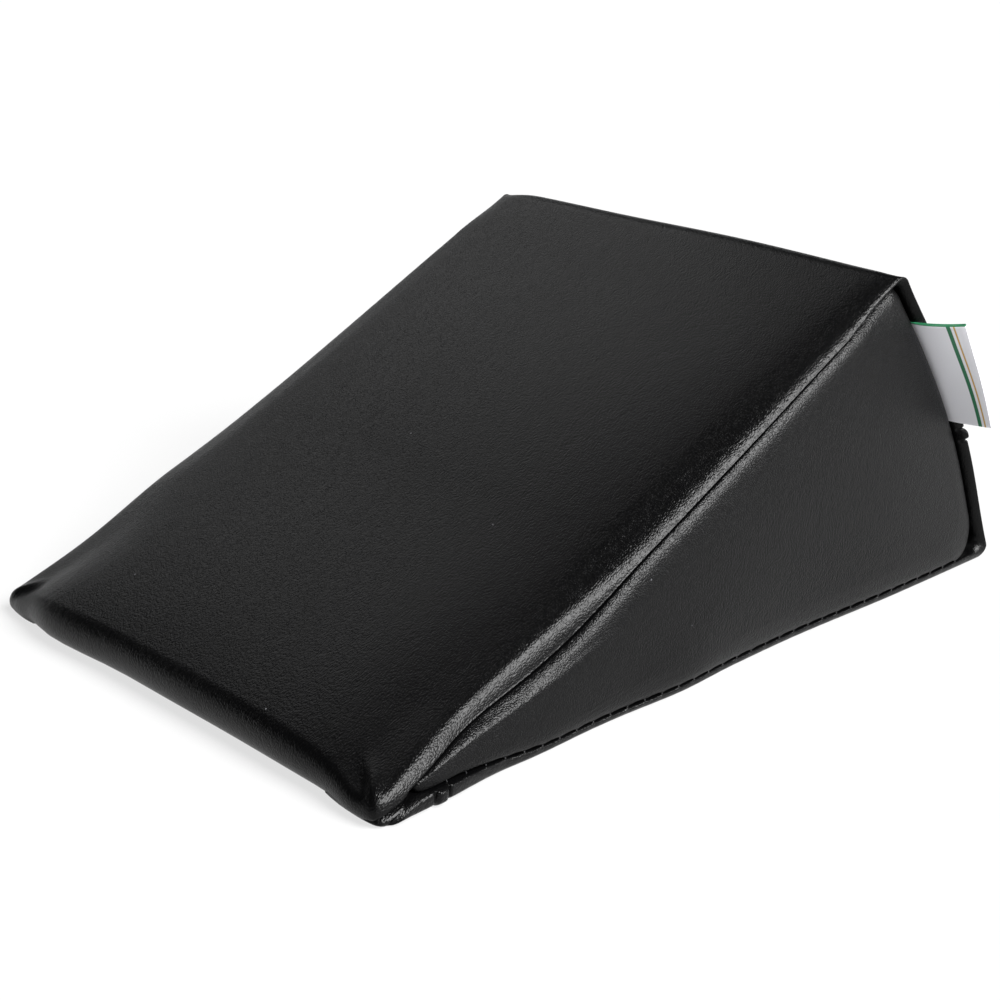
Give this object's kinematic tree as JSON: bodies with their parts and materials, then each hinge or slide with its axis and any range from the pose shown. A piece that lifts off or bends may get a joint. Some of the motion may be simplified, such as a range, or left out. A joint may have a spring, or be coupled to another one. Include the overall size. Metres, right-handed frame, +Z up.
{
  "type": "wedge pillow",
  "caption": "Small firm wedge pillow: a right-angled foam wedge lying on its longest face in a sewn black leatherette cover with inset side panels and a folded ribbon label.",
  "frame": {"origin": "on the resting face, midway between the sides and midway between the nominal front vertex and the heel", "axes": "+Y from the thin front edge towards the high back, +X towards the side with the label, +Z up"},
  "size_m": [0.1661, 0.2201, 0.086],
  "materials": {
    "leatherette": "satin, fine pebbled grain",
    "ribbon": "satin weave"
  },
  "bodies": {
    "root": {"filled_wedge": "leatherette", "side_panel_right": "leatherette", "side_panel_left": "leatherette", "label": "ribbon"}
  },
  "joints": []
}
